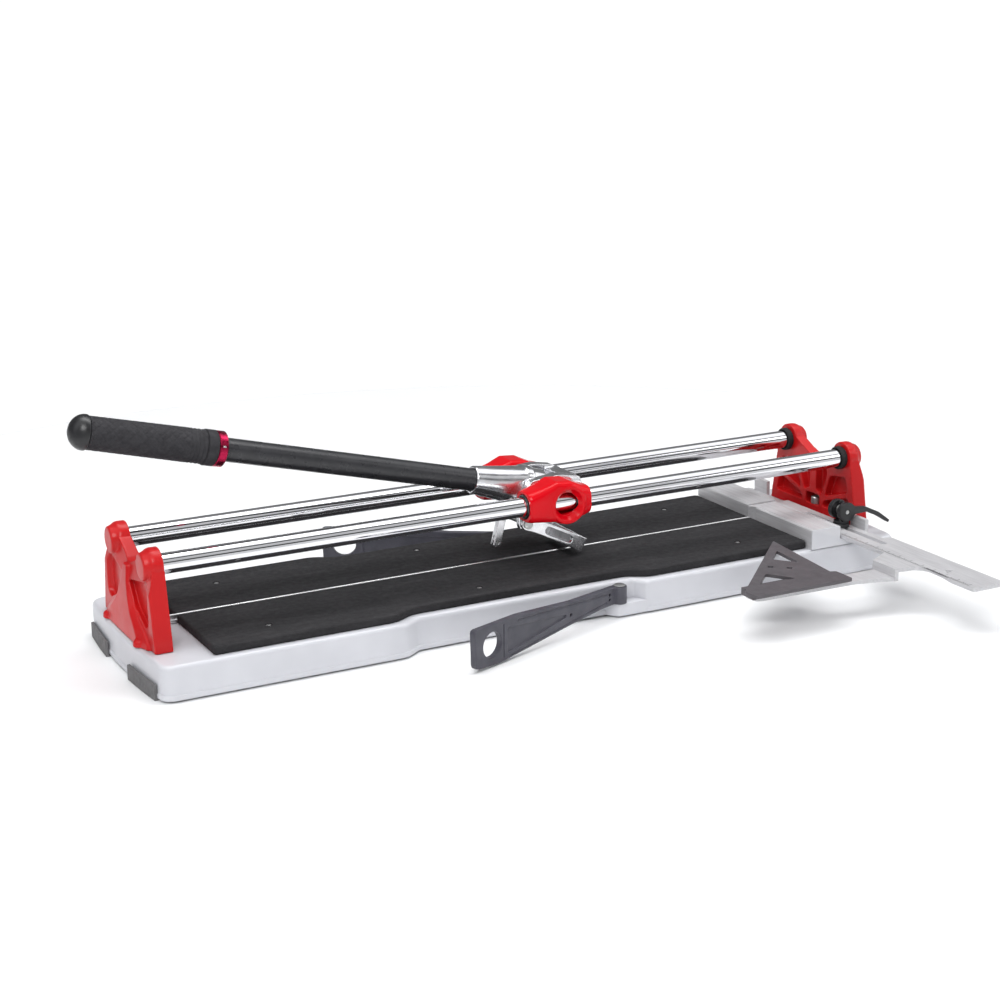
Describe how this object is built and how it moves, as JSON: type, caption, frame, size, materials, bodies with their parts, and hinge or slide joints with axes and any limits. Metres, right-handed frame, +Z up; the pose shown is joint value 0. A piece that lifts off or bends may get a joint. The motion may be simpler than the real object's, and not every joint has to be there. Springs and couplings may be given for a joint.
{
  "type": "manual tile cutter",
  "caption": "Manual tile cutter with a ribbed base, two round guide rails, a sliding lever carriage, rubber pads, a fence with side stop and fold-out side arms.",
  "frame": {"origin": "underside of the rubber foot below the middle of the base, on the floor, midway between the supports and between the rails", "axes": "+X along the rails towards the fence, +Y across the base towards the rear arm, +Z up"},
  "size_m": [0.9752, 0.5889, 0.2764],
  "materials": {
    "base_paint": "light grey enamel, satin",
    "red_paint": "red enamel, glossy",
    "aluminium": "drawn aluminium, satin",
    "ridge_steel": "ground steel",
    "screw_steel": "plated steel",
    "pad_rubber": "foam rubber, matte",
    "rail_chrome": "hard chrome, polished",
    "polished_chrome": "polished casting",
    "wheel_steel": "ground carbide",
    "foot_rubber": "grey rubber, matte",
    "black_rubber": "black rubber",
    "black_plastic": "black nylon",
    "lever_paint": "black enamel, satin",
    "grip_rubber": "charcoal rubber, matte",
    "ring_anodised": "crimson anodised",
    "square_plastic": "warm grey plastic",
    "arm_plastic": "dark blue-grey plastic"
  },
  "bodies": {
    "bench": {"base_casting": "base_paint", "fence_block": "aluminium", "ridge_bar": "ridge_steel", "pad_front": "pad_rubber", "pad_rear": "pad_rubber", "left_support": "red_paint", "right_support": "red_paint", "left_support_bolt": "screw_steel", "right_support_bolt": "screw_steel", "rail_front": "rail_chrome", "rail_rear": "rail_chrome", "bumper_front": "black_rubber", "bumper_rear": "black_rubber", "rail_screw_left_front": "screw_steel", "rail_screw_left_rear": "screw_steel", "rail_screw_right_front": "screw_steel", "rail_screw_right_rear": "screw_steel", "foot_left_front": "foot_rubber", "foot_left_rear": "foot_rubber", "foot_right_front": "foot_rubber", "foot_right_rear": "foot_rubber", "centre_foot": "foot_rubber", "cam_stud": "screw_steel", "cam_nut": "screw_steel", "cam_shoe": "black_plastic", "cam_pin": "screw_steel", "arm_pin_front": "screw_steel", "arm_pin_rear": "screw_steel"},
    "carriage": {"carriage_body": "polished_chrome", "housing_front": "red_paint", "housing_rear": "red_paint", "rail_bush_front_left": "black_plastic", "rail_bush_front_right": "black_plastic", "rail_bush_rear_left": "black_plastic", "rail_bush_rear_right": "black_plastic", "pivot_bolt": "screw_steel", "breaker_pin": "screw_steel", "magnet": "screw_steel"},
    "lever": {"lever_holder": "polished_chrome", "lever_tube": "lever_paint", "grip": "grip_rubber", "grip_end_cap": "black_plastic", "grip_ring": "ring_anodised", "ring_screw": "screw_steel", "wheel_holder": "polished_chrome", "wheel_holder_screw": "screw_steel", "wheel_axle": "screw_steel"},
    "wheel": {"scoring_wheel": "wheel_steel"},
    "breaker": {"breaker_foot": "polished_chrome"},
    "stop": {"side_stop": "aluminium"},
    "square": {"square_plate": "square_plastic"},
    "cam": {"cam_lever": "black_plastic"},
    "front_arm": {"arm_front": "arm_plastic"},
    "rear_arm": {"arm_rear": "arm_plastic"}
  },
  "joints": [
    {"name": "carriage_slide", "type": "slide", "parent": "bench", "child": "carriage", "axis": [1, 0, 0], "range_m": [-0.372, 0.243]},
    {"name": "lever_hinge", "type": "hinge", "parent": "carriage", "child": "lever", "pos_m": [0.031, 0, 0.1284], "axis": [0, 1, 0], "range_deg": [-10, 60]},
    {"name": "wheel_spin", "type": "hinge", "parent": "lever", "child": "wheel", "pos_m": [-0.01856, 0, 0.07016], "axis": [0, 1, 0], "continuous": true},
    {"name": "breaker_hinge", "type": "hinge", "parent": "carriage", "child": "breaker", "pos_m": [0.0055, 0, 0.096], "axis": [0, -1, 0], "range_deg": [0, 25]},
    {"name": "stop_slide", "type": "slide", "parent": "bench", "child": "stop", "axis": [0, 1, 0], "range_m": [-0.06, 0.034]},
    {"name": "square_slide", "type": "slide", "parent": "stop", "child": "square", "axis": [1, 0, 0], "range_m": [0, 0.038]},
    {"name": "cam_hinge", "type": "hinge", "parent": "bench", "child": "cam", "pos_m": [0.399, -0.098, 0.0725], "axis": [0, -1, 0], "range_deg": [0, 110]},
    {"name": "arm_front_hinge", "type": "hinge", "parent": "bench", "child": "front_arm", "pos_m": [0.073, -0.1215, 0.0275], "axis": [0, 0, 1], "range_deg": [-20, 65]},
    {"name": "arm_rear_hinge", "type": "hinge", "parent": "bench", "child": "rear_arm", "pos_m": [0.073, 0.1215, 0.0275], "axis": [0, 0, -1], "range_deg": [-27, 58]}
  ]
}
